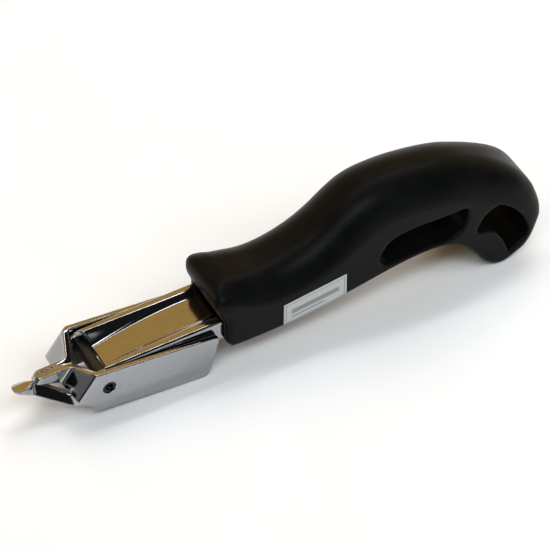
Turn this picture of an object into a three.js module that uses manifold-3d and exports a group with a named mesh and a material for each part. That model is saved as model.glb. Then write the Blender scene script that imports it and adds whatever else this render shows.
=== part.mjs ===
// Heavy-duty hand staple remover: a folded-sheet foot with the upper nose, a pressed-sheet lever with
// the lower jaw, a slotted spring pin that hinges them, a moulded grip and a blank label.
// Millimetres, +X from the jaw tip to the hook end of the grip, +Z up, symmetric about Y = 0.
import * as THREE from 'three';
import { mergeVertices } from 'three/addons/utils/BufferGeometryUtils.js';
import Module from 'manifold-3d';

const wasm = await Module();
wasm.setup();

// ---- driving dimensions ----
const GAP = 0.3; // clearance between touching pieces
const SHEET = 2.0; // steel sheet thickness
const TIP_X = -100; // front of the lower jaw
const END_X = 100; // rear of the hook

// hinge
const PIN_X = -70.0;
const PIN_Z = 13.0;
const PIN_R = 2.3;
const PIN_WALL = 0.8;
const PIN_SLOT = 1.1;
const PIN_HALF_LENGTH = 13.1;

// foot, drawn in its own frame: X along the cheek's bottom edge, Z square to it
const FOOT_TILT = THREE.MathUtils.degToRad(5.5);
const FOOT_PIN_X = 5.0; // hinge position in the foot's frame
const FOOT_PIN_Z = 9.35;
const CHEEK_HALF = 13.3; // half of the head's outer width
const CHEEK_LENGTH = 43.2;
const CHEEK_TOP = 16.4;
const NOSE_HALF = 2.4;
const BEND_LEAN = 0.6; // forward lean of the flares and the nose fold per mm down
const FLARE_X = -0.5; // outer bend of the cheeks at CHEEK_TOP
const FLARE_RUN = 0.4; // how far forward the flare reaches between cheek and nose
const FLARE_DIP = 3.4; // how far the flare's top edge falls from the cheek to the nose
const NOSE_X = -13.0; // nose fold at CHEEK_TOP, before the lean

// lever
const LEVER_HALF = 10.9;
const LEVER_FRONT_X = -71.3; // front corners of the web
const WEB_SETBACK = 4.15; // the web's middle stands back behind the pin
const SHOULDER_Z = 19.5; // top of the web at LEVER_FRONT_X
const SHOULDER_RISE = 0.034; // rise of the web per mm to the rear
const TANG_FRONT_X = -28.5; // where the side walls reach their tang height
const TANG_END_X = 2.0;
const TANG_BOTTOM_Z = 12.8; // lower edge of the tang at TANG_FRONT_X
const TANG_RISE = 1.5; // how much the lower edge rises to TANG_END_X
const JAW_HALF = 2.65;
const JAW_SPLIT_X = -92.5;
const EAR_FRONT_X = -77.0;
const CORNER_R = 1.1; // outer bend of the web into its side walls

// pressed trough: front and rear values
const TROUGH = { crest: [8.9, 8.1], floor: [4.3, 5.7], depth: [5.6, 1.4] };
const TROUGH_REAR_X = -34;

// grip
const GRIP_HALF = 14.5;
const GRIP_FRONT_X = -25.8; // front face beside and below the mouth
const BROW_X = -28.6; // front of the brow that overhangs the mouth
const GRIP_EDGE_RADIUS = 1.8;
const GRIP_BACK_RADIUS = [ // [X, radius]
  [BROW_X, 11], [-16, 12.3], [21, 12.5], [33, 13.6], [62, 13.8], [78, 13.0], [88, 9.5], [96, 5.5],
];

// label, set into the left flat of the grip
const LABEL_THICK = 0.4;
const LABEL_INSET = 0.1;
const LABEL_CORNERS = [[-4.5, 12.6], [19.9, 15.9], [19.9, 25.6], [-4.5, 21.9]];

// the finished tool stands on the foot's rear corners and the hook
const REST_DROP = 0.243;
const CENTRE_SHIFT = -0.085;

// ---- materials ----
const material = (color, roughness, metalness) => (
  new THREE.MeshStandardMaterial({ color, roughness, metalness })
);
const chrome = material(0xc9c6c0, 0.12, 1.0);
const blackOxide = material(0x24241f, 0.35, 0.8);
const blackPlastic = material(0x14140f, 0.42, 0.0);
const labelVinyl = material(0xd6d8da, 0.45, 0.0);

// ---- solids ----
function solid(geometry) {
  const plain = geometry.clone();
  plain.deleteAttribute('normal');
  plain.deleteAttribute('uv');
  const merged = mergeVertices(plain, 1e-4);
  return new wasm.Manifold(new wasm.Mesh({
    numProp: 3,
    vertProperties: new Float32Array(merged.attributes.position.array),
    triVerts: new Uint32Array(merged.index.array),
  }));
}

function toGeometry(manifold) {
  const mesh = manifold.getMesh();
  const geometry = new THREE.BufferGeometry();
  geometry.setAttribute('position', new THREE.BufferAttribute(new Float32Array(mesh.vertProperties), 3));
  geometry.setIndex(new THREE.BufferAttribute(new Uint32Array(mesh.triVerts), 1));
  geometry.computeVertexNormals();
  return geometry;
}

// Closed outline through corners [x, y, radius], each corner rounded as far as its sides allow.
function roundedShape(corners) {
  const shape = new THREE.Shape();
  const count = corners.length;
  corners.forEach(([x, y, radius = 0], i) => {
    const corner = new THREE.Vector2(x, y);
    const towards = ([ox, oy]) => {
      const side = new THREE.Vector2(ox, oy).sub(corner);
      return side.setLength(Math.min(radius, 0.45 * side.length()));
    };
    const entry = corner.clone().add(towards(corners[(i + count - 1) % count]));
    const exit = corner.clone().add(towards(corners[(i + 1) % count]));
    if (i === 0) shape.moveTo(entry.x, entry.y);
    else shape.lineTo(entry.x, entry.y);
    if (radius > 0) shape.quadraticCurveTo(x, y, exit.x, exit.y);
  });
  shape.closePath();
  return shape;
}

// Outline in X and Y, extruded from z0 to z1.
function prismZ(shape, z0, z1, curveSegments = 5) {
  const geometry = new THREE.ExtrudeGeometry(shape, { depth: z1 - z0, bevelEnabled: false, curveSegments });
  return geometry.translate(0, 0, z0);
}

// Outline in X and Z, extruded across Y over +-half.
function prismY(shape, half, curveSegments = 5) {
  const geometry = new THREE.ExtrudeGeometry(shape, { depth: 2 * half, bevelEnabled: false, curveSegments });
  return geometry.rotateX(Math.PI / 2).translate(0, half, 0);
}

function rodY(radius, half, x, z, segments = 32) {
  return new THREE.CylinderGeometry(radius, radius, 2 * half, segments).translate(x, 0, z);
}

// Skin over closed loops of equal length, with caps triangulated in their Y and Z.
function loft(sections) {
  const flat = (loop) => loop.map(([, y, z]) => new THREE.Vector2(y, z));
  const clockwise = THREE.ShapeUtils.isClockWise(flat(sections[0]));
  const loops = clockwise ? sections.map((loop) => [...loop].reverse()) : sections;
  const size = loops[0].length;
  const positions = loops.flat(2);
  const index = [];
  for (let s = 0; s + 1 < loops.length; s += 1) {
    for (let i = 0; i < size; i += 1) {
      const j = (i + 1) % size;
      const [a, b, c, d] = [s * size + i, s * size + j, (s + 1) * size + j, (s + 1) * size + i];
      index.push(a, b, c, a, c, d);
    }
  }
  const cap = (s, flip) => {
    for (const [a, b, c] of THREE.ShapeUtils.triangulateShape(flat(loops[s]), [])) {
      index.push(s * size + a, s * size + (flip ? c : b), s * size + (flip ? b : c));
    }
  };
  cap(0, true);
  cap(loops.length - 1, false);
  const geometry = new THREE.BufferGeometry();
  geometry.setAttribute('position', new THREE.Float32BufferAttribute(positions, 3));
  geometry.setIndex(index);
  return geometry;
}

// ---- foot: cheeks, flares and nose, folded from one sheet ----
function footPlan() {
  const rear = CHEEK_LENGTH + 20;
  const inner = CHEEK_HALF - SHEET;
  const flareNoseX = FLARE_X - FLARE_RUN;
  return roundedShape([
    [NOSE_X, NOSE_HALF, 2.2],
    [flareNoseX, NOSE_HALF, 1.4],
    [FLARE_X, CHEEK_HALF, 2.6],
    [rear, CHEEK_HALF],
    [rear, inner],
    [FLARE_X + SHEET - 0.3, inner, 1.0],
    [flareNoseX + SHEET, 0.4, 0.3],
    [flareNoseX + SHEET, -0.4, 0.3],
    [FLARE_X + SHEET - 0.3, -inner, 1.0],
    [rear, -inner],
    [rear, -CHEEK_HALF],
    [FLARE_X, -CHEEK_HALF, 2.6],
    [flareNoseX, -NOSE_HALF, 1.4],
    [NOSE_X, -NOSE_HALF, 2.2],
  ].reverse());
}

function footSide() {
  return roundedShape([
    [-0.4, 0, 0.4],
    [CHEEK_LENGTH, 0, 2.2],
    [CHEEK_LENGTH + 3.2, CHEEK_TOP + 0.9, 2.4],
    [-0.6, CHEEK_TOP, 0.4],
    [-4.0, CHEEK_TOP - FLARE_DIP, 0.8],
    [-16.4, 11.2, 1.2],
    [-17.4, 9.2, 0.5],
    [-8.0, 6.9, 1.2],
    [-4.0, 4.3, 1.2],
    [-0.9, 2.6, 0.3],
  ]);
}

// What lies above the flares' falling top edges: an outline in Y and Z, extruded along X over the front.
function flareRoof() {
  const edge = CHEEK_HALF - SHEET;
  const outline = roundedShape([
    [-edge, CHEEK_TOP],
    [-NOSE_HALF, CHEEK_TOP - FLARE_DIP],
    [NOSE_HALF, CHEEK_TOP - FLARE_DIP],
    [edge, CHEEK_TOP],
    [edge, CHEEK_TOP + FLARE_DIP],
    [-edge, CHEEK_TOP + FLARE_DIP],
  ]);
  const toXAxis = new THREE.Matrix4().set(0, 0, 1, 0, 1, 0, 0, 0, 0, 1, 0, 0, 0, 0, 0, 1);
  return prismZ(outline, 2 * NOSE_X, FLARE_X + SHEET + 1.5).applyMatrix4(toXAxis);
}

function footJaw() {
  const shift = -BEND_LEAN * CHEEK_TOP;
  const lean = new THREE.Matrix4().set(1, 0, BEND_LEAN, shift, 0, 1, 0, 0, 0, 0, 1, 0, 0, 0, 0, 1);
  const folded = solid(prismZ(footPlan(), -1, CHEEK_TOP + 3).applyMatrix4(lean));
  const trimmed = folded.intersect(solid(prismY(footSide(), CHEEK_HALF + 1)));
  const hole = solid(rodY(PIN_R + GAP, CHEEK_HALF + 1, FOOT_PIN_X, FOOT_PIN_Z));
  return toGeometry(trimmed.subtract(solid(flareRoof())).subtract(hole));
}

// ---- lever: web with its trough, side walls, ears, tang and lower jaw ----
const shoulderZ = (x) => SHOULDER_Z + SHOULDER_RISE * (x - LEVER_FRONT_X);

function troughAt(x) {
  const t = THREE.MathUtils.clamp((x - LEVER_FRONT_X) / (TROUGH_REAR_X - LEVER_FRONT_X), 0, 1);
  const ease = 1 - (1 - t) * (1 - t);
  const pick = ([front, rear]) => THREE.MathUtils.lerp(front, rear, ease);
  return { crest: pick(TROUGH.crest), floor: pick(TROUGH.floor), depth: pick(TROUGH.depth) };
}

// Height of the web's top surface at a distance y from the middle.
function webTop(x, y) {
  const across = Math.abs(y);
  const { crest, floor, depth } = troughAt(x);
  const wall = THREE.MathUtils.smoothstep(across, floor, crest);
  const edge = Math.max(0, across - (LEVER_HALF - CORNER_R));
  const corner = CORNER_R - Math.sqrt(Math.max(0, CORNER_R * CORNER_R - edge * edge));
  return shoulderZ(x) - depth * (1 - wall) - corner;
}

function webLoop(x, bottom) {
  const inner = LEVER_HALF - SHEET;
  const across = [0, 2.5, 4.5, 5.5, 6.5, 7.3, 8.0, inner];
  const outer = [...across, 9.4, 9.9, 10.35, 10.7, LEVER_HALF];
  const setback = (y) => x + Math.max(0, WEB_SETBACK - (x - LEVER_FRONT_X)) * (1 - (y / LEVER_HALF) ** 4);
  const point = (y, drop) => [setback(y), y, webTop(x, y) - drop];
  const topHalf = outer.map((y) => point(y, 0));
  const underHalf = across.map((y) => point(y, SHEET * 1.1)).reverse();
  const right = [...topHalf, [x, LEVER_HALF, bottom], [x, inner, bottom], ...underHalf];
  const left = right.slice(1, -1).map(([px, y, z]) => [px, -y, z]).reverse();
  return [...right, ...left];
}

function leverWeb() {
  const stations = [];
  for (let x = LEVER_FRONT_X; x < -61; x += 2) stations.push(x);
  stations.push(-58, -53, -48, -43, -38, TROUGH_REAR_X, TANG_END_X);
  return loft(stations.map((x) => webLoop(x, -2)));
}

function jawPlan() {
  const inner = LEVER_HALF - SHEET;
  const rear = -60;
  return roundedShape([
    [TIP_X, JAW_HALF, 2.3],
    [JAW_SPLIT_X, JAW_HALF, 1.5],
    [EAR_FRONT_X, LEVER_HALF, 2.5],
    [rear, LEVER_HALF],
    [rear, inner],
    [EAR_FRONT_X + 0.8, inner, 1.5],
    [JAW_SPLIT_X + 2.4, 0.4, 0.3],
    [JAW_SPLIT_X + 2.4, -0.4, 0.3],
    [EAR_FRONT_X + 0.8, -inner, 1.5],
    [rear, -inner],
    [rear, -LEVER_HALF],
    [EAR_FRONT_X, -LEVER_HALF, 2.5],
    [JAW_SPLIT_X, -JAW_HALF, 1.5],
    [TIP_X, -JAW_HALF, 2.3],
  ].reverse());
}

function leverSide() {
  return roundedShape([
    [TIP_X, 14.9, 0.4],
    [-98.6, 13.8, 0.6],
    [-90.0, 9.3, 3.0],
    [-81.5, 5.5, 3.0],
    [-75.5, 4.3, 2.0],
    [-64.0, 4.6, 3.0],
    [-45.0, 8.2, 4.0],
    [TANG_FRONT_X, TANG_BOTTOM_Z, 1.0],
    [TANG_END_X, TANG_BOTTOM_Z + TANG_RISE],
    [TANG_END_X, 24],
    [LEVER_FRONT_X, 24],
    [LEVER_FRONT_X, SHOULDER_Z - 0.9, 0.5],
    [-74.2, 17.5, 1.5],
    [-76.4, 13.6, 1.5],
    [-78.0, 10.2, 1.5],
    [-81.5, 9.5, 1.5],
    [-85.4, 11.0, 1.5],
    [-89.3, 13.4, 1.0],
    [-92.0, 15.0, 0.8],
    [-99.2, 15.15, 0.5],
  ]);
}

function leverJaw() {
  const ears = solid(prismZ(jawPlan(), -1, SHOULDER_Z - CORNER_R));
  const blank = solid(leverWeb()).add(ears);
  const trimmed = blank.intersect(solid(prismY(leverSide(), LEVER_HALF + 1)));
  const hole = solid(rodY(PIN_R + GAP, LEVER_HALF + 1, PIN_X, PIN_Z));
  return toGeometry(trimmed.subtract(hole));
}

// ---- slotted spring pin ----
function springPin() {
  const half = Math.asin(PIN_SLOT / 2 / PIN_R);
  const bore = PIN_R - PIN_WALL;
  const start = -Math.PI / 3 + half;
  const end = start + 2 * Math.PI - 2 * half;
  const shape = new THREE.Shape();
  shape.absarc(0, 0, PIN_R, start, end, false);
  shape.absarc(0, 0, bore, end, start, true);
  shape.closePath();
  return prismY(shape, PIN_HALF_LENGTH, 15).translate(PIN_X, 0, PIN_Z);
}

// ---- grip: one moulding with a socket, a long slot and a hook with its eye ----
const curveXZ = (points) => new THREE.SplineCurve(points.map(([x, z]) => new THREE.Vector2(x, z)));

const gripTop = curveXZ([
  [BROW_X, 30.6], [-27.9, 32.4], [-25.8, 34.3], [-22.0, 35.4], [-16.0, 34.4], [-8.0, 33.3],
  [0.0, 34.2], [8.0, 36.6], [15.0, 40.4], [22.0, 45.9], [28.0, 49.8], [35.0, 52.0], [46.0, 52.6],
  [58.0, 51.3], [68.0, 49.0], [77.0, 45.1], [85.0, 39.9], [91.8, 33.9], [96.8, 27.2], [99.4, 21.0],
]);
const gripBottom = curveXZ([
  [BROW_X, 28.6], [-28.1, 26.4], [-27.0, 23.4], [-26.1, 21.8], [GRIP_FRONT_X, 13.0], [-24.3, 10.9],
  [-22.0, 10.3], [-4.5, 11.0], [12.0, 13.2], [24.0, 15.5], [34.0, 17.9],
  [44.0, 19.8], [52.0, 20.2], [58.0, 19.4], [63.5, 17.4], [67.0, 15.1], [70.2, 11.7], [73.0, 8.2],
  [76.0, 4.0], [78.5, 1.1], [80.8, 0.1], [83.5, 0.3], [87.8, 2.1], [92.2, 4.6], [95.2, 8.0],
  [97.4, 12.4], [99.0, 17.0],
]);

// Height of a curve whose X only grows.
function heightAt(curve, x) {
  let low = 0;
  let high = 1;
  for (let i = 0; i < 30; i += 1) {
    const middle = (low + high) / 2;
    if (curve.getPoint(middle).x < x) low = middle;
    else high = middle;
  }
  return curve.getPoint(low).y;
}

function backRadiusAt(x) {
  const next = GRIP_BACK_RADIUS.findIndex(([stop]) => stop > x);
  if (next <= 0) return GRIP_BACK_RADIUS[next === 0 ? 0 : GRIP_BACK_RADIUS.length - 1][1];
  const [[x0, r0], [x1, r1]] = GRIP_BACK_RADIUS.slice(next - 1, next + 1);
  return THREE.MathUtils.mapLinear(x, x0, x1, r0, r1);
}

// One cross-section of the grip: flat sides, a round back and a tight lower edge.
function gripLoop(x) {
  const frontRound = 5.0;
  const endRound = 6.0;
  const inFront = Math.max(0, BROW_X + frontRound - x) / frontRound;
  const inEnd = Math.max(0, x - (END_X - endRound)) / endRound;
  const pinch = (t, radius) => radius * (1 - Math.sqrt(Math.max(0, 1 - t * t)));
  const half = GRIP_HALF - pinch(inFront, 4.5) - pinch(inEnd, 5.5);
  const sx = THREE.MathUtils.clamp(x, BROW_X, 99);
  const top = heightAt(gripTop, sx);
  const bottom = heightAt(gripBottom, sx);
  const tall = top - bottom;
  const back = Math.min(backRadiusAt(x), tall * 0.55);
  const edge = Math.min(GRIP_EDGE_RADIUS, tall * 0.2);
  const loop = [];
  const arc = (cy, cz, ry, rz, from, to, steps) => {
    for (let i = 0; i <= steps; i += 1) {
      const a = THREE.MathUtils.lerp(from, to, i / steps);
      loop.push([x, cy + ry * Math.cos(a), cz + rz * Math.sin(a)]);
    }
  };
  const backY = Math.min(backRadiusAt(x), half - 0.5);
  arc(half - backY, top - back, backY, back, 0, Math.PI / 2, 6);
  arc(-half + backY, top - back, backY, back, Math.PI / 2, Math.PI, 6);
  arc(-half + edge, bottom + edge, edge, edge, Math.PI, 1.5 * Math.PI, 2);
  arc(half - edge, bottom + edge, edge, edge, 1.5 * Math.PI, 2 * Math.PI, 2);
  return loop;
}

function gripStations() {
  const stations = [BROW_X, -28.4, -28.0, -27.2, -26.1, GRIP_FRONT_X, -25.3, -24.3, -22.6, -20.0];
  for (let x = -16; x <= 88; x += 4) stations.push(x);
  return [...stations, 90.5, 93, 95, 97, 98.6, 99.6, END_X];
}

const slotShape = () => roundedShape([
  [32.8, 25.6, 2.0], [35.0, 21.6, 2.4], [51.0, 22.6, 8.0], [62.0, 22.0, 4.0], [67.2, 25.4, 4.0],
  [68.4, 34.2, 3.0], [57.0, 34.0, 6.0], [46.0, 34.6, 6.0], [37.0, 33.0, 4.0],
]);

const eyeShape = () => roundedShape([
  [71.3, 20.2, 1.5], [74.4, 26.8, 2.5], [80.4, 30.6, 2.4], [87.2, 25.0, 4.0], [91.8, 18.4, 5.0],
  [94.0, 10.6, 3.5], [85.6, 4.3, 1.6], [82.9, 12.6, 5.0], [78.0, 19.0, 5.0],
]);

// Pocket for the tang, open at the grip's front face.
function socket() {
  const end = TANG_END_X + GAP;
  const front = 2 * TANG_FRONT_X - end - 4;
  const top = shoulderZ(TANG_END_X) + GAP;
  const low = TANG_BOTTOM_Z - GAP;
  const outline = roundedShape([[front, low - TANG_RISE], [end, low + TANG_RISE], [end, top], [front, top]]);
  return prismY(outline, LEVER_HALF + GAP);
}

function grip() {
  const body = solid(loft(gripStations().map(gripLoop)));
  const wide = GRIP_HALF + 1;
  return toGeometry(body
    .subtract(solid(socket()))
    .subtract(solid(labelPrism(GAP, -1, LABEL_BACK + GAP)))
    .subtract(solid(prismY(slotShape(), wide, 4)))
    .subtract(solid(prismY(eyeShape(), wide, 4))));
}

// ---- label: a blank plate in a shallow pocket ----
const LABEL_BACK = LABEL_INSET + LABEL_THICK; // depth of the label's back below the grip's side

function labelPrism(margin, front, back) {
  const outward = [[-1, -1], [1, -1], [1, 1], [-1, 1]];
  const cornerRadius = 1.0;
  const outline = LABEL_CORNERS.map(([x, z], i) => {
    const [dx, dz] = outward[i];
    return [x + margin * dx, z + margin * dz, cornerRadius];
  });
  const half = (back - front) / 2;
  return prismY(roundedShape(outline), half).translate(0, -GRIP_HALF + front + half, 0);
}

// ---- assembly ----
function piece(name, geometry, look) {
  const mesh = new THREE.Mesh(geometry, look);
  mesh.name = name;
  return mesh;
}

const foot = new THREE.Group();
foot.rotation.y = FOOT_TILT;
const pinInFoot = new THREE.Vector3(FOOT_PIN_X, 0, FOOT_PIN_Z).applyEuler(foot.rotation);
foot.position.set(PIN_X - pinInFoot.x, 0, PIN_Z - pinInFoot.z);
foot.add(piece('foot_jaw', footJaw(), chrome));

const stapleRemover = new THREE.Group();
stapleRemover.position.set(CENTRE_SHIFT, 0, -REST_DROP);
stapleRemover.add(foot);
stapleRemover.add(piece('lever_jaw', leverJaw(), chrome));
stapleRemover.add(piece('hinge_spring_pin', springPin(), blackOxide));
stapleRemover.add(piece('grip', grip(), blackPlastic));
stapleRemover.add(piece('label_plate', labelPrism(0, LABEL_INSET, LABEL_BACK), labelVinyl));

export default stapleRemover;
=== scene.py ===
"""Looks of a heavy-duty staple remover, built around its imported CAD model.

Shapes are written in millimetres in the tool's own drawing frame (X from the jaw tip to the hook, Z up)
as signed-distance fields. They are meshed here on a lattice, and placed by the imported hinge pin.
"""

import math

import bpy
import numpy as np
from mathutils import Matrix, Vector


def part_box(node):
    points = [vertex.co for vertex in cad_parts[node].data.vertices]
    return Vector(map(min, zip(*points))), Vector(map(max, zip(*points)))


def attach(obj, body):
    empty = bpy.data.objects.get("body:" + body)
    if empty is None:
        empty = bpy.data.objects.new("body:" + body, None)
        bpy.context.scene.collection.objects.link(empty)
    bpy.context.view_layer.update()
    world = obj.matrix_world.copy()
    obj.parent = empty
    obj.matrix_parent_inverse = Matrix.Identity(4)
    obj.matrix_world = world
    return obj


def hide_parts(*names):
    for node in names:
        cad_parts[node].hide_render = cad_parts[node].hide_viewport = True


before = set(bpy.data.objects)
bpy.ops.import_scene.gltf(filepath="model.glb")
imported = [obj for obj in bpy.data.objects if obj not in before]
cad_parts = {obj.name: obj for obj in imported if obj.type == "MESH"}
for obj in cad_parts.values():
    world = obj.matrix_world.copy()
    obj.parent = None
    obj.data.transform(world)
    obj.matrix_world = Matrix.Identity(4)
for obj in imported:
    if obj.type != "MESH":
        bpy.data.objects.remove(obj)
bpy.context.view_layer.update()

# ---- placing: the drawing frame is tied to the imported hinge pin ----
PIN_X, PIN_Z = -70.0, 13.0
pin_low, pin_high = (np.array(corner) * 1000 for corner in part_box("hinge_spring_pin"))
SHIFT = (pin_low + pin_high) / 2 - np.array((PIN_X, 0, PIN_Z))
METRES = 0.001

# settling a mesh on its surface: rounds, probe distance, least squared steepness, longest step in pitches
SETTLE_ROUNDS, PROBE, LEAST_STEEPNESS, LONGEST_STEP = 3, 0.02, 0.3, 0.4


# ---- outlines and fields ----
def mirrored(corners):
    """Corners of one side (v above 0), then the same ones backwards on the other side."""
    return corners + [(u, -v, radius) for u, v, radius in reversed(corners)]


def rounded(corners, steps=10):
    """Points of a closed outline through corners (u, v, radius), each rounded as far as its sides allow."""
    points = []
    for i, (u, v, radius) in enumerate(corners):
        corner = np.array((u, v), float)
        if radius == 0:
            points.append(corner)
            continue
        ends = []
        for other in (corners[i - 1], corners[(i + 1) % len(corners)]):
            side = np.array(other[:2], float) - corner
            length = np.hypot(*side)
            ends.append(corner + side / length * min(radius, 0.45 * length))
        for t in np.linspace(0, 1, steps):
            points.append((1 - t) ** 2 * ends[0] + 2 * t * (1 - t) * corner + t * t * ends[1])
    return np.array(points)


def spline(points, steps=8):
    """Points along a smooth curve through the given ones."""
    p = np.array([points[0], *points, points[-1]], float)
    out = []
    for i in range(1, len(p) - 2):
        for t in np.arange(steps) / steps:
            a, b, c, d = p[i - 1], p[i], p[i + 1], p[i + 2]
            square, cube = 2 * a - 5 * b + 4 * c - d, 3 * b - a - 3 * c + d
            out.append(0.5 * (2 * b + (c - a) * t + square * t * t + cube * t ** 3))
    return np.array([*out, points[-1]])


class Outline:
    """Signed distance to a closed outline, negative inside, read from a fine table."""

    def __init__(self, points, pitch=0.1, margin=3.0):
        self.pitch = pitch
        self.low = points.min(axis=0) - margin
        count = ((points.max(axis=0) + margin - self.low) / pitch).astype(int) + 2
        u = self.low[0] + pitch * np.arange(count[0])[:, None]
        v = self.low[1] + pitch * np.arange(count[1])[None, :]
        nearest = np.full((count[0], count[1]), np.inf)
        inside = np.zeros((count[0], count[1]), bool)
        for (au, av), (bu, bv) in zip(points, np.roll(points, -1, axis=0)):
            eu, ev = bu - au, bv - av
            if eu * eu + ev * ev < 1e-12:
                continue
            t = np.clip(((u - au) * eu + (v - av) * ev) / (eu * eu + ev * ev), 0, 1)
            nearest = np.minimum(nearest, (u - au - t * eu) ** 2 + (v - av - t * ev) ** 2)
            if av != bv:
                inside ^= ((av > v) != (bv > v)) & (u - au < eu * (v - av) / ev)
        self.table = np.where(inside, -1, 1) * np.sqrt(nearest)

    def __call__(self, u, v):
        rows, columns = self.table.shape
        a = np.clip((u - self.low[0]) / self.pitch, 0, rows - 1.001)
        b = np.clip((v - self.low[1]) / self.pitch, 0, columns - 1.001)
        i, j = a.astype(int), b.astype(int)
        a, b = a - i, b - j
        t = self.table
        below = t[i, j] * (1 - a) + t[i + 1, j] * a
        above = t[i, j + 1] * (1 - a) + t[i + 1, j + 1] * a
        return below * (1 - b) + above * b


def both(a, b, radius):
    """Where two fields overlap, with the edge between them rounded."""
    a, b = a + radius, b + radius
    return np.minimum(np.maximum(a, b), 0) + np.hypot(np.maximum(a, 0), np.maximum(b, 0)) - radius


def smooth(value, start, end):
    """0 before start, 1 after end, and a smooth step between."""
    t = np.clip((value - start) / (end - start), 0, 1)
    return t * t * (3 - 2 * t)


def cells_to_mesh(values, low, pitch):
    """Surface net over a lattice of field values: a point per crossed cell, a quad per crossed edge."""
    inside = values < 0
    corners = [(i, j, k) for i in (0, 1) for j in (0, 1) for k in (0, 1)]
    size = [n - 1 for n in values.shape]
    count = sum(inside[i:i + size[0], j:j + size[1], k:k + size[2]].astype(int) for i, j, k in corners)
    cells = np.argwhere((count > 0) & (count < 8))
    number = np.full(size, -1)
    number[tuple(cells.T)] = np.arange(len(cells))
    total = np.zeros((len(cells), 3))
    crossings = np.zeros(len(cells))
    for axis in range(3):
        step = np.eye(3, dtype=int)[axis]
        for corner in corners:
            if corner[axis]:
                continue
            start = cells + corner
            a = values[tuple(start.T)]
            b = values[tuple((start + step).T)]
            crossed = (a < 0) != (b < 0)
            t = np.where(crossed, a / np.where(crossed, a - b, 1), 0)
            total += crossed[:, None] * (np.array(corner) + t[:, None] * step)
            crossings += crossed
    points = low + pitch * (cells + total / crossings[:, None])
    quads = []
    for axis in range(3):
        step = np.eye(3, dtype=int)[axis]
        side_1, side_2 = np.eye(3, dtype=int)[(axis + 1) % 3], np.eye(3, dtype=int)[(axis + 2) % 3]
        ends = [slice(0, n - 1) if i == axis else slice(1, n - 1) for i, n in enumerate(values.shape)]
        first = inside[tuple(ends)]
        second = inside[tuple(slice(e.start + s, e.stop + s) for e, s in zip(ends, step))]
        for leaving in (True, False):
            edges = np.argwhere((first & ~second) if leaving else (~first & second)) + [e.start for e in ends]
            around = [edges - side_1 - side_2, edges - side_2, edges, edges - side_1]
            quad = np.stack([number[tuple(cell.T)] for cell in around], axis=1)
            quads.append(quad if leaving else quad[:, ::-1])
    return points, np.concatenate(quads)


def field_piece(name, field, low, high, pitch, place=lambda p: p):
    """Meshes a field over a box in millimetres, settles the points on the surface and places the piece."""
    low = np.array(low, float)
    count = ((np.array(high) - low) / pitch).astype(int) + 2
    x, y, z = (low[i] + pitch * np.arange(count[i]) for i in range(3))
    values = np.broadcast_to(field(x[:, None, None], y[None, :, None], z[None, None, :]), count).copy()
    points, quads = cells_to_mesh(values, low, pitch)
    for _ in range(SETTLE_ROUNDS):
        sides = [(field(*(points + step).T), field(*(points - step).T)) for step in PROBE * np.eye(3)]
        gradient = np.stack([(after - before) / (2 * PROBE) for after, before in sides], axis=1)
        steepness = np.maximum((gradient ** 2).sum(axis=1), LEAST_STEEPNESS)
        step = np.clip(field(*points.T) / steepness, -LONGEST_STEP * pitch, LONGEST_STEP * pitch)
        points -= step[:, None] * gradient
    return mesh_piece(name, place(points), quads)


def mesh_piece(name, points, faces):
    mesh = bpy.data.meshes.new(name)
    mesh.from_pydata(((points + SHIFT) * METRES).tolist(), [], faces.tolist())
    mesh.polygons.foreach_set("use_smooth", [True] * len(mesh.polygons))
    mesh.validate()
    piece = bpy.data.objects.new(name, mesh)
    bpy.context.collection.objects.link(piece)
    return piece


# ---- shared by the steel pieces ----
SHEET = 2.0
SHEET_EDGE = 0.4  # rounding of the sheet's cut edges
HOLE_EDGE = 0.25
PIN_R = 2.3
OUTSIDE = -9.0  # a field value that leaves everything in place

# ---- foot: folded sheet with cheeks, flares and a two-layer nose, drawn in its own tilted frame ----
FOOT_TILT = math.radians(5.5)
FOOT_PIN = (5.0, 9.35)
CHEEK_HALF, CHEEK_LENGTH, CHEEK_TOP = 13.3, 43.2, 16.4
FOOT_REAR_X = 66  # the plan runs on past the cheeks, and the side outline ends them
NOSE_HALF, NOSE_X = 2.4, -13.0
BEND_LEAN = 0.6  # forward lean of the flares and the nose fold per mm down
FLARE_X, FLARE_RUN, FLARE_DIP = -0.5, 1.2, 3.4
FLARE_ROOF_X = 3.0  # the flares' falling top edges end here
NOSE_MIDDLE_Z = 9.3
SEAM_Y, SEAM_NEAR, SEAM_FAR, SEAM_DEPTH = 0.7, 1.0, 0.35, 0.6  # place, widths to each side, depth

foot_plan = Outline(rounded(mirrored([
    (NOSE_X, NOSE_HALF, 2.2), (FLARE_X - FLARE_RUN, NOSE_HALF, 1.6), (FLARE_X, CHEEK_HALF, 2.6),
    (FOOT_REAR_X, CHEEK_HALF, 0), (FOOT_REAR_X, CHEEK_HALF - SHEET, 0),
    (FLARE_X + SHEET - 0.3, CHEEK_HALF - SHEET, 1.2), (FLARE_X - FLARE_RUN + SHEET, 0.4, 0.3),
])))
foot_side = Outline(rounded([
    (-0.4, 0, 0.4), (CHEEK_LENGTH, 0.03, 2.2), (CHEEK_LENGTH + 3.2, CHEEK_TOP + 0.9, 2.4),
    (-0.6, CHEEK_TOP, 0.4), (-4.0, CHEEK_TOP - FLARE_DIP, 0.8), (-16.4, 11.2, 1.2), (-17.4, 9.2, 0.5),
    (-8.0, 6.9, 1.2), (-4.0, 4.3, 1.2), (-0.9, 2.6, 0.3),
]))


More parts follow.
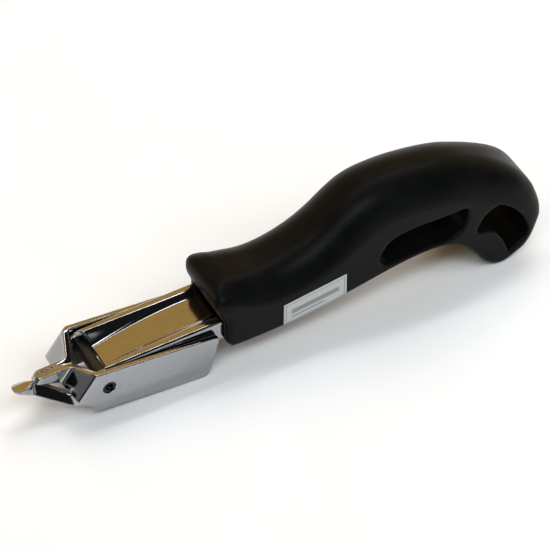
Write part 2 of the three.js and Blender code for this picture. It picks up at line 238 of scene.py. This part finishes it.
def foot_field(x, y, z):
    plan = foot_plan(x - BEND_LEAN * (z - CHEEK_TOP), y)
    # the two layers of the nose meet in a seam along its upper and lower edges
    from_seam = (y - SEAM_Y) / np.where(y < SEAM_Y, SEAM_NEAR, SEAM_FAR)
    roll = SEAM_DEPTH * (1 - np.sqrt(1 - np.clip(1 - np.abs(from_seam), 0, 1) ** 2))
    seam = roll * smooth(-x, 0.5, 2.0) * smooth(x, -16.0, -14.5)
    side = foot_side(x, z + seam * np.sign(z - NOSE_MIDDLE_Z))
    # the flares' top edges fall from the cheeks to the nose
    rise = FLARE_DIP / (CHEEK_HALF - SHEET - NOSE_HALF)
    roof = (z - CHEEK_TOP + FLARE_DIP - rise * (np.abs(y) - NOSE_HALF)) / math.hypot(1, rise)
    roof = np.where(x < FLARE_ROOF_X, roof, OUTSIDE)
    hole = PIN_R + 0.1 - np.hypot(x - FOOT_PIN[0], z - FOOT_PIN[1])
    body = both(both(plan, side, SHEET_EDGE), roof, SHEET_EDGE)
    return both(body, hole, HOLE_EDGE)


def place_foot(points):
    c, s = math.cos(FOOT_TILT), math.sin(FOOT_TILT)
    x, y, z = (points - (FOOT_PIN[0], 0, FOOT_PIN[1])).T
    return np.stack([c * x + s * z + PIN_X, y, c * z - s * x + PIN_Z], axis=1)


foot = field_piece("foot_shell", foot_field, (-19, -14, -1), (48, 14, 19), 0.25, place_foot)

# ---- lever: pressed sheet with a trough, ears, and the lower jaw ----
LEVER_HALF, LEVER_FRONT_X = 10.9, -71.3
WEB_SETBACK, WEB_THICK = 3.85, 1.8
SHOULDER_Z, SHOULDER_RISE = 19.5, 0.034
TIP_X, JAW_HALF, JAW_SPLIT_X, EAR_FRONT_X = -100, 2.65, -92.5, -77.0
TANG_FRONT_X, TANG_END_X, TANG_TOP_Z = -28.5, 2.0, 24
CORNER_R = 1.1  # outer bend of the web into the side walls
TROUGH_REAR_X = -34
TROUGH_FRONT, TROUGH_CHANGE = (8.9, 4.3, 5.6), (-0.3, 0.6, -4.5)  # half-widths of crest and floor, depth
LEVER_REAR_X = 8  # the plan runs on past the tang, and the side outline ends it
JAW_SLOPE = 0.6
ARM_X, ARM_MIDDLE_Z = (-100, -92, -85, -79), (14.0, 11.0, 7.8, 6.0)  # the middle height of the jaw's arms
TIP_TOP_Z, TIP_SLOPE = 15.1, 0.55

lever_plan = Outline(rounded(mirrored([
    (TIP_X, JAW_HALF, 2.3), (JAW_SPLIT_X, JAW_HALF, 1.5), (EAR_FRONT_X, LEVER_HALF, 2.5),
    (LEVER_REAR_X, LEVER_HALF, 0), (LEVER_REAR_X, LEVER_HALF - SHEET, 0),
    (EAR_FRONT_X + 0.8, LEVER_HALF - SHEET, 1.5), (JAW_SPLIT_X + 2.4, 0.4, 0.3),
])))
lever_side = Outline(rounded([
    (TIP_X, 14.9, 0.4), (-98.6, 13.8, 0.6), (-90.0, 9.3, 3.0), (-81.5, 5.5, 3.0), (-75.5, 4.3, 2.0),
    (-64.0, 4.6, 3.0), (-45.0, 8.2, 4.0), (TANG_FRONT_X, 12.8, 1.0), (TANG_END_X, 14.3, 0),
    (TANG_END_X, TANG_TOP_Z, 0), (LEVER_FRONT_X, TANG_TOP_Z, 0), (LEVER_FRONT_X, SHOULDER_Z - 0.9, 0.5),
    (-74.2, 17.5, 1.5), (-76.4, 13.6, 1.5), (-78.0, 10.2, 1.5), (-81.5, 9.5, 1.5), (-85.4, 11.0, 1.5),
    (-89.3, 13.4, 1.0), (-92.0, 15.0, 0.8), (-99.2, 15.15, 0.5),
]))


def web_top(x, across):
    """Height of the web's top: shoulders, a trough that runs out to the rear, and rolled outer edges."""
    t = np.clip((x - LEVER_FRONT_X) / (TROUGH_REAR_X - LEVER_FRONT_X), 0, 1)
    ease = 1 - (1 - t) ** 2
    crest, floor, depth = (start + change * ease for start, change in zip(TROUGH_FRONT, TROUGH_CHANGE))
    shoulder = SHOULDER_Z + SHOULDER_RISE * (x - LEVER_FRONT_X)
    edge = np.clip(across - (LEVER_HALF - CORNER_R), 0, CORNER_R)
    roll = CORNER_R - np.sqrt(CORNER_R ** 2 - edge ** 2)
    return shoulder - depth * (1 - smooth(across, floor, crest)) - roll


def lever_field(x, y, z):
    across = np.abs(y)
    slope = (web_top(x, across + 0.1) - web_top(x, np.maximum(across - 0.1, 0))) / 0.2
    above = (z - web_top(x, across)) / np.hypot(1, np.clip(slope, -2, 2))
    outer = np.maximum(across - LEVER_HALF, above)
    inner = np.maximum(across - LEVER_HALF + SHEET, above + WEB_THICK)
    front = LEVER_FRONT_X + WEB_SETBACK * (1 - (y / LEVER_HALF) ** 4)
    web = both(np.maximum(outer, -inner), front - x, 0.25)
    # the arms of the jaw slope outwards on their way down
    below_middle = np.clip(np.interp(x, ARM_X, ARM_MIDDLE_Z) - z, -4, 4)
    outwards = JAW_SLOPE * below_middle * smooth(-x, 77.5, 83) * smooth(x, -96, -92)
    plan = lever_plan(x, np.sign(y) * np.maximum(across - outwards, 0.0))
    ears = both(plan, z - (SHOULDER_Z - CORNER_R), 0.3)
    # the far layer of the jaw's tip is dressed down to a slope
    dressed = z - TIP_TOP_Z + TIP_SLOPE * np.maximum(y - 0.5, 0)
    ears = np.where(x < -88, both(ears, dressed, 0.25), ears)
    body = both(np.minimum(web, ears), lever_side(x, z), SHEET_EDGE)
    hole = PIN_R + 0.3 - np.hypot(x - PIN_X, z - PIN_Z)
    return both(body, hole, HOLE_EDGE)


lever = field_piece("lever_pressing", lever_field, (-101, -11.4, 2), (3, 11.4, 23.5), 0.3)

# ---- slotted spring pin ----
PIN_HALF, PIN_WALL, PIN_SLOT = 13.1, 0.8, 1.1
SLOT_TOWARDS = (0.5, -0.866)  # the slot opens down and to the rear


def pin_field(x, y, z):
    u, w = x - PIN_X, z - PIN_Z
    radius = np.hypot(u, w)
    ring = np.maximum(radius - PIN_R, PIN_R - PIN_WALL - radius)
    along = u * SLOT_TOWARDS[0] + w * SLOT_TOWARDS[1]
    aside = w * SLOT_TOWARDS[0] - u * SLOT_TOWARDS[1]
    slot = np.where(along > 0, PIN_SLOT / 2 - np.abs(aside), OUTSIDE)
    ends = both(radius - PIN_R, np.abs(y) - PIN_HALF, 0.5)
    return both(np.maximum(both(ring, slot, 0.12), ends), np.abs(y) - PIN_HALF, 0.15)


pin_reach = np.array((PIN_R + 0.4, PIN_HALF + 0.4, PIN_R + 0.4))
pin_middle = np.array((PIN_X, 0, PIN_Z))
pin = field_piece("slotted_pin", pin_field, pin_middle - pin_reach, pin_middle + pin_reach, 0.16)

# ---- grip ----
GRIP_HALF = 14.43
GRIP_FRONT_X = -25.8
LOWER_EDGE = 2.0  # edge radius along the bottom
MOUTH_GAP, MOUTH_BOTTOM_Z, MOUTH_END_X = 0.3, 12.5, 2.3

grip_top = spline([
    (-22.0, 35.4), (-16.0, 34.4), (-8.0, 33.3), (0.0, 34.2), (8.0, 36.6), (15.0, 40.4), (22.0, 45.9),
    (28.0, 49.8), (35.0, 52.0), (46.0, 52.56), (58.0, 51.3), (68.0, 49.0), (77.0, 45.1), (85.2, 40.3),
    (92.3, 34.6), (97.3, 27.9), (99.5, 21.8), (99.9, 18.2),
])
grip_bottom = spline([
    (GRIP_FRONT_X, 13.2), (-24.6, 11.2), (-22.0, 10.3), (-4.5, 10.9), (12.0, 13.1), (24.0, 15.3),
    (34.0, 17.4), (44.0, 19.2), (52.0, 19.8), (58.0, 19.3), (63.5, 17.4), (67.0, 15.1), (70.2, 11.7),
    (73.0, 8.2), (76.0, 4.1), (78.4, 1.9), (80.6, 0.8), (83.0, 0.4), (85.2, 0.9), (87.8, 2.1),
    (92.2, 4.6), (95.2, 8.0), (97.9, 12.4), (99.5, 15.6), (99.9, 18.2),
])
grip_brow = spline([
    (GRIP_FRONT_X, 14.5), (-26.0, 20.0), (-26.9, 23.4), (-28.1, 26.4), (-28.6, 29.4), (-27.9, 32.4),
    (-25.8, 34.3), (-22.0, 35.4),
])
grip_side = Outline(np.concatenate([grip_brow, grip_top[1:], grip_bottom[::-1]]), pitch=0.25, margin=5)
slot_side = Outline(rounded([
    (32.8, 25.6, 2.0), (35.0, 21.6, 2.4), (51.0, 22.6, 8.0), (62.0, 22.0, 4.0), (67.2, 25.4, 4.0),
    (68.4, 34.0, 3.0), (57.0, 33.6, 6.0), (46.0, 34.0, 6.0), (37.0, 32.4, 4.0),
]), margin=8)
eye_side = Outline(rounded([
    (71.6, 20.4, 1.5), (74.4, 26.6, 2.5), (80.4, 30.2, 2.4), (87.0, 24.8, 4.0), (91.5, 18.4, 5.0),
    (93.7, 10.8, 3.5), (85.7, 4.8, 1.6), (82.9, 12.6, 5.0), (78.0, 19.0, 5.0),
]), margin=8)
# edge radius along X: (X, height where it starts to grow, height of its full size, full size)
grip_edges = spline([
    (-28.6, 14, 29, 9.5), (-5, 14.5, 29, 11.9), (10, 17, 31, 12.2), (21, 19, 38, 12.4),
    (35, 22, 45, 13.6), (52, 24, 45, 13.8), (66, 20, 42, 13.8), (78, 10, 36, 13.1), (88, 5, 30, 11.2),
    (100, 4, 26, 7.8),
])


def grip_field(x, y, z):
    across = np.abs(y)
    # tight along the bottom, growing to the round back, and smaller again on the front face
    low, high, back = (np.interp(x, grip_edges[:, 0], grip_edges[:, i]) for i in (1, 2, 3))
    frontal = smooth(6.8 - z - x, -6.0, 4.0)
    radius = LOWER_EDGE + (back - LOWER_EDGE) * smooth(z, low, high) * (1 - 0.65 * frontal)
    body = both(grip_side(x, z), across - GRIP_HALF, radius)
    # the mouth round the lever
    mouth_top = SHOULDER_Z + 0.35 + SHOULDER_RISE * (x - LEVER_FRONT_X)
    mouth = np.maximum(across - LEVER_HALF - MOUTH_GAP, np.maximum(z - mouth_top, MOUTH_BOTTOM_Z - z))
    body = both(body, -np.maximum(mouth, x - MOUTH_END_X), 0.9)
    body = both(body, -slot_side(x, z), 1.2)
    return both(body, -eye_side(x, z), 1.0)


grip = field_piece("grip_moulding", grip_field, (-29.5, -15.2, -0.8), (101, 15.2, 54), 0.55)

# ---- label film, laid over the grip's left flat ----
LABEL = np.array([(-4.5, 11.4), (20.0, 14.9), (19.9, 25.1), (-4.4, 21.3)])  # corners in X and Z
LABEL_GRID = (50, 24)
LABEL_FRONT, LABEL_BACK = 0.06, -0.15  # heights of the film's two faces over the grip
OUTSIDE_Y, INSIDE_Y = -16.0, -9.0  # the grip's left surface lies between these
HALVINGS = 24


def label_points(lift):
    """Points over the label's outline on the grip's surface, raised by lift."""
    bottom_left, bottom_right, top_right, top_left = LABEL
    s, t = np.meshgrid(*(np.linspace(0, 1, n) for n in LABEL_GRID), indexing="ij")
    s, t = s[..., None], t[..., None]
    flat = (bottom_left + (bottom_right - bottom_left) * s) * (1 - t)
    flat = flat + (top_left + (top_right - top_left) * s) * t
    x, z = flat[..., 0].ravel(), flat[..., 1].ravel()
    near, far = np.full(x.shape, OUTSIDE_Y), np.full(x.shape, INSIDE_Y)
    for _ in range(HALVINGS):
        middle = (near + far) / 2
        outside = grip_field(x, middle, z) > lift
        near, far = np.where(outside, middle, near), np.where(outside, far, middle)
    return np.stack([x, near, z], axis=1)


def label_film():
    front, back = label_points(LABEL_FRONT), label_points(LABEL_BACK)
    count = len(front)
    index = np.arange(count).reshape(LABEL_GRID)
    cells = [index[:-1, :-1], index[1:, :-1], index[1:, 1:], index[:-1, 1:]]
    grid = np.stack(cells, axis=-1).reshape(-1, 4)
    rim = np.concatenate([index[:-1, 0], index[-1, :-1], index[:0:-1, -1], index[0, :0:-1]])
    after = np.roll(rim, -1)
    walls = np.stack([rim, rim + count, after + count, after], axis=1)
    faces = np.concatenate([grid, grid[:, ::-1] + count, walls])
    return mesh_piece("label_film", np.concatenate([front, back]), faces)


label = label_film()


# ---- materials ----
class Material:
    """A Principled material with a few helpers for its node tree, on object coordinates in millimetres."""

    def __init__(self, name, **inputs):
        self.data = bpy.data.materials.new(name)
        self.data.use_nodes = True
        self.tree = self.data.node_tree
        self.shader = self.tree.nodes["Principled BSDF"]
        for key, value in inputs.items():
            self.shader.inputs[key.replace("_", " ")].default_value = value
        coordinates = self.tree.nodes.new("ShaderNodeTexCoord")
        scale = self.node("ShaderNodeVectorMath", coordinates.outputs["Object"], operation="SCALE")
        scale.inputs["Scale"].default_value = 1 / METRES
        self.place = scale.outputs[0]

    def node(self, kind, *links, **settings):
        node = self.tree.nodes.new(kind)
        for key, value in settings.items():
            setattr(node, key, value)
        for i, link in enumerate(links):
            self.put(node.inputs[i], link)
        return node

    def put(self, socket, value):
        if isinstance(value, bpy.types.NodeSocket):
            self.tree.links.new(value, socket)
        elif value is not None:
            socket.default_value = value

    def noise(self, scale, detail=2.0, stretch=(1, 1, 1)):
        mapped = self.node("ShaderNodeMapping", self.place)
        mapped.inputs["Scale"].default_value = stretch
        noise = self.node("ShaderNodeTexNoise", mapped.outputs[0])
        noise.inputs["Scale"].default_value = scale
        noise.inputs["Detail"].default_value = detail
        return noise.outputs["Fac"]

    def span(self, value, low, high, to_low, to_high):
        node = self.node("ShaderNodeMapRange", value, low, high, to_low, to_high)
        return node.outputs[0]

    def math(self, operation, a, b=None):
        return self.node("ShaderNodeMath", a, b, operation=operation).outputs[0]

    def mix(self, factor, a, b):
        node = self.node("ShaderNodeMix", data_type="RGBA")
        self.put(node.inputs["Factor"], factor)
        self.put(node.inputs["A"], a)
        self.put(node.inputs["B"], b)
        return node.outputs["Result"]

    def bump(self, height, distance, strength=1.0):
        node = self.tree.nodes.new("ShaderNodeBump")
        node.inputs["Distance"].default_value = distance
        node.inputs["Strength"].default_value = strength
        self.put(node.inputs["Height"], height)
        previous = self.shader.inputs["Normal"]
        if previous.is_linked:
            self.put(node.inputs["Normal"], previous.links[0].from_socket)
        self.put(previous, node.outputs[0])

    def set(self, name, value):
        self.put(self.shader.inputs[name], value)


def chrome_material(name, grain):
    """Bright plate with a faint haze, and rub marks stretched by grain."""
    m = Material(name, Metallic=1.0, Roughness=0.08)
    haze = m.noise(0.35, 4.0)
    rubs = m.noise(2.2, 3.0, grain)
    wear = m.math("MULTIPLY", m.span(rubs, 0.45, 0.75, 0, 1), m.span(haze, 0.4, 0.7, 0.2, 1))
    clear, dull = (0.395, 0.40, 0.41, 1), (0.365, 0.37, 0.38, 1)
    m.set("Base Color", m.mix(m.span(haze, 0.3, 0.7, 0, 1), clear, dull))
    m.set("Roughness", m.math("ADD", m.span(haze, 0.3, 0.7, 0.05, 0.09), m.math("MULTIPLY", wear, 0.08)))
    m.bump(m.noise(0.16, 1.0), 0.00004)
    m.bump(rubs, 0.000004)
    return m.data


def plastic_material():
    """Satin black moulding with a fine eroded surface and lengthwise rubs."""
    m = Material("black_moulded_plastic", Roughness=0.4, Specular_IOR_Level=0.085)
    patches = m.noise(0.12, 4.0)
    erosion = m.noise(5.5, 3.0)
    rubs = m.noise(0.9, 3.0, (0.15, 1, 1))
    deep, faded = (0.0022, 0.0026, 0.0028, 1), (0.0034, 0.0038, 0.0038, 1)
    m.set("Base Color", m.mix(m.span(patches, 0.35, 0.7, 0, 1), deep, faded))
    m.set("Roughness", m.math("ADD", m.span(patches, 0.3, 0.7, 0.32, 0.40), m.span(rubs, 0.5, 0.8, 0, 0.08)))
    m.bump(erosion, 0.00003, 0.6)
    return m.data


def oxide_material():
    """Oiled black oxide with stains, drawn along the pin."""
    m = Material("black_oxide_steel", Metallic=0.6, Roughness=0.34)
    stain = m.noise(1.4, 4.0)
    drawn = m.noise(6.0, 2.0, (1, 0.1, 1))
    oiled, dry = (0.016, 0.016, 0.014, 1), (0.040, 0.038, 0.032, 1)
    m.set("Base Color", m.mix(m.span(stain, 0.35, 0.7, 0, 1), oiled, dry))
    m.set("Roughness", m.span(stain, 0.3, 0.7, 0.25, 0.42))
    m.bump(drawn, 0.00001)
    return m.data


def label_material():
    """Light grey film with a plain printed frame and two plain bars."""
    m = Material("label_vinyl", Roughness=0.4)
    split = m.node("ShaderNodeSeparateXYZ", m.place)
    x, z = split.outputs["X"], split.outputs["Z"]
    centre_x, centre_z = (float(value) for value in LABEL.mean(axis=0) + SHIFT[[0, 2]])
    run, rise = (float(value) for value in LABEL[1] - LABEL[0])
    along = m.math("SUBTRACT", x, centre_x)
    up = m.math("SUBTRACT", m.math("SUBTRACT", z, centre_z), m.math("MULTIPLY", along, rise / run))

    def bar(low, high, left, right):
        inside_up = m.math("MULTIPLY", m.math("GREATER_THAN", up, low), m.math("LESS_THAN", up, high))
        past_left, before_right = m.math("GREATER_THAN", along, left), m.math("LESS_THAN", along, right)
        inside_along = m.math("MULTIPLY", past_left, before_right)
        return m.math("MULTIPLY", inside_up, inside_along)

    frame_line = m.math("SUBTRACT", bar(-4.1, 4.1, -11.4, 11.4), bar(-3.8, 3.8, -11.1, 11.1))
    bars = m.math("MAXIMUM", bar(-0.9, 1.1, -9.2, 9.2), bar(-2.6, -1.9, -9.2, 3.5))
    fibre = m.noise(3.0, 3.0)
    paper = m.mix(m.span(fibre, 0.3, 0.7, 0, 1), (0.44, 0.45, 0.455, 1), (0.49, 0.50, 0.505, 1))
    ink = m.math("MULTIPLY", m.math("MAXIMUM", frame_line, bars), 0.8)
    m.set("Base Color", m.mix(ink, paper, (0.16, 0.16, 0.17, 1)))
    m.set("Roughness", m.span(fibre, 0.3, 0.7, 0.32, 0.48))
    m.bump(fibre, 0.000006)
    return m.data


def dress(piece, material, body, node):
    piece.data.materials.append(material)
    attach(piece, body)
    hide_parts(node)


dress(foot, chrome_material("chromed_foot", (1, 1, 6)), "foot", "foot_jaw")
dress(lever, chrome_material("chromed_lever", (6, 1, 1)), "handle", "lever_jaw")
dress(pin, oxide_material(), "foot", "hinge_spring_pin")
dress(grip, plastic_material(), "handle", "grip")
dress(label, label_material(), "handle", "label_plate")


# ---- floor, light and camera, in metres ----
FLOOR_HALF = 3.0
LAMP_SIZE, LAMP_COLOUR = 1.2, (0.94, 0.97, 1.0)
LOOK_AT, LOOK_FROM, LENS = (0.0102, 0.0190, -0.00024), 1.2, 224.2  # aim, distance from it, focal length


def floor():
    corners = [(FLOOR_HALF * x, FLOOR_HALF * y, 0) for x, y in ((-1, -1), (1, -1), (1, 1), (-1, 1))]
    mesh = bpy.data.meshes.new("studio_floor")
    mesh.from_pydata(corners, [], [(0, 1, 2, 3)])
    piece = bpy.data.objects.new("studio_floor", mesh)
    bpy.context.collection.objects.link(piece)
    m = Material("studio_floor", Roughness=0.9)
    clouds = m.span(m.noise(0.02, 2.0), 0.3, 0.7, 0, 1)
    m.set("Base Color", m.mix(clouds, (0.78, 0.79, 0.81, 1), (0.81, 0.82, 0.84, 1)))
    mesh.materials.append(m.data)


def studio_world():
    """A dim room with a warm wall behind the tool, a pale horizon and two overhead strip lights."""
    world = bpy.data.worlds.new("studio")
    bpy.context.scene.world = world
    world.use_nodes = True
    nodes, links = world.node_tree.nodes, world.node_tree.links
    background = nodes["Background"]
    direction = nodes.new("ShaderNodeTexCoord").outputs["Generated"]

    def ramp(axis, start, end):
        dot = nodes.new("ShaderNodeVectorMath")
        dot.operation = "DOT_PRODUCT"
        links.new(direction, dot.inputs[0])
        dot.inputs[1].default_value = Vector(axis).normalized()
        spread = nodes.new("ShaderNodeMapRange")
        spread.interpolation_type = "SMOOTHSTEP"
        links.new(dot.outputs["Value"], spread.inputs["Value"])
        spread.inputs["From Min"].default_value = start
        spread.inputs["From Max"].default_value = end
        return spread.outputs[0]

    def over(colour, factor, below):
        mix = nodes.new("ShaderNodeMix")
        mix.data_type = "RGBA"
        links.new(factor, mix.inputs["Factor"])
        mix.inputs["B"].default_value = (*colour, 1)
        if isinstance(below, tuple):
            mix.inputs["A"].default_value = (*below, 1)
        else:
            links.new(below, mix.inputs["A"])
        return mix.outputs["Result"]

    def times(a, b):
        product = nodes.new("ShaderNodeMath")
        product.operation = "MULTIPLY"
        links.new(a, product.inputs[0])
        links.new(b, product.inputs[1])
        return product.outputs[0]

    def less(factor):
        rest = nodes.new("ShaderNodeMath")
        rest.operation = "SUBTRACT"
        rest.inputs[0].default_value = 1.0
        links.new(factor, rest.inputs[1])
        return rest.outputs[0]

    def strip(normal, outer, inner):
        """A band along the great circle square to normal, soft from outer to inner."""
        x, y, z = normal
        return times(ramp(normal, outer, inner), ramp((-x, -y, -z), outer, inner))

    up = (0, 0, 1)
    dark = (0.016, 0.016, 0.017)
    behind = ramp((0.3, 0.95, 0), 0.22, 0.34)
    in_front = ramp((0.1, -1, 0), 0.1, 0.3)
    colour = over((0.20, 0.205, 0.215), less(ramp(up, 0.30, 0.45)), dark)
    colour = over(dark, in_front, colour)
    # the warm wall, the pale horizon in front of it, and everything below the horizon
    colour = over((0.71, 0.435, 0.128), times(behind, less(ramp(up, 0.89, 0.91))), colour)
    colour = over((1.25, 1.25, 1.27), times(behind, less(ramp(up, 0.10, 0.15))), colour)
    colour = over((0.6, 0.6, 0.62), less(ramp(up, -0.03, 0.03)), colour)
    # a soft patch for the sloping steel, and the two strips
    colour = over((0.9, 0.92, 0.95), ramp((0.34, -0.88, 0.30), 0.975, 0.996), colour)
    rear_strip = times(strip((0, -0.953, 0.303), -0.06, -0.03), ramp(up, 0.70, 0.75))
    colour = over((6.0, 6.1, 6.2), rear_strip, colour)
    front_strip = times(strip((0, 0.876, 0.482), -0.14, -0.05), ramp(up, 0.55, 0.65))
    left_half = ramp((-1, 0, 0), -0.08, 0.08)
    colour = over((7.0, 7.3, 7.1), times(front_strip, left_half), colour)
    links.new(colour, background.inputs["Color"])


def area_light(name, position, energy):
    """A large soft lamp that faces the tool and doesn't show in its reflections."""
    light = bpy.data.lights.new(name, "AREA")
    light.size = LAMP_SIZE
    light.energy = energy
    light.color = LAMP_COLOUR
    lamp = bpy.data.objects.new(name, light)
    lamp.location = position
    lamp.rotation_euler = (-Vector(position)).to_track_quat("-Z", "Y").to_euler()
    lamp.visible_glossy = False
    bpy.context.collection.objects.link(lamp)


def camera():
    azimuth, elevation = math.radians(-28.5), math.radians(44.7)
    level = math.cos(elevation)
    back = Vector((math.sin(azimuth) * level, -math.cos(azimuth) * level, math.sin(elevation)))
    data = bpy.data.cameras.new("camera")
    data.lens = LENS
    view = bpy.data.objects.new("camera", data)
    view.location = Vector(LOOK_AT) + LOOK_FROM * back
    view.rotation_euler = back.to_track_quat("Z", "Y").to_euler()
    bpy.context.collection.objects.link(view)
    bpy.context.scene.camera = view


floor()
studio_world()
area_light("key", (0.8, -0.9, 1.2), 17)
area_light("fill", (0.6, 0.8, 1.4), 13)
camera()
bpy.context.scene.view_settings.view_transform = "Standard"
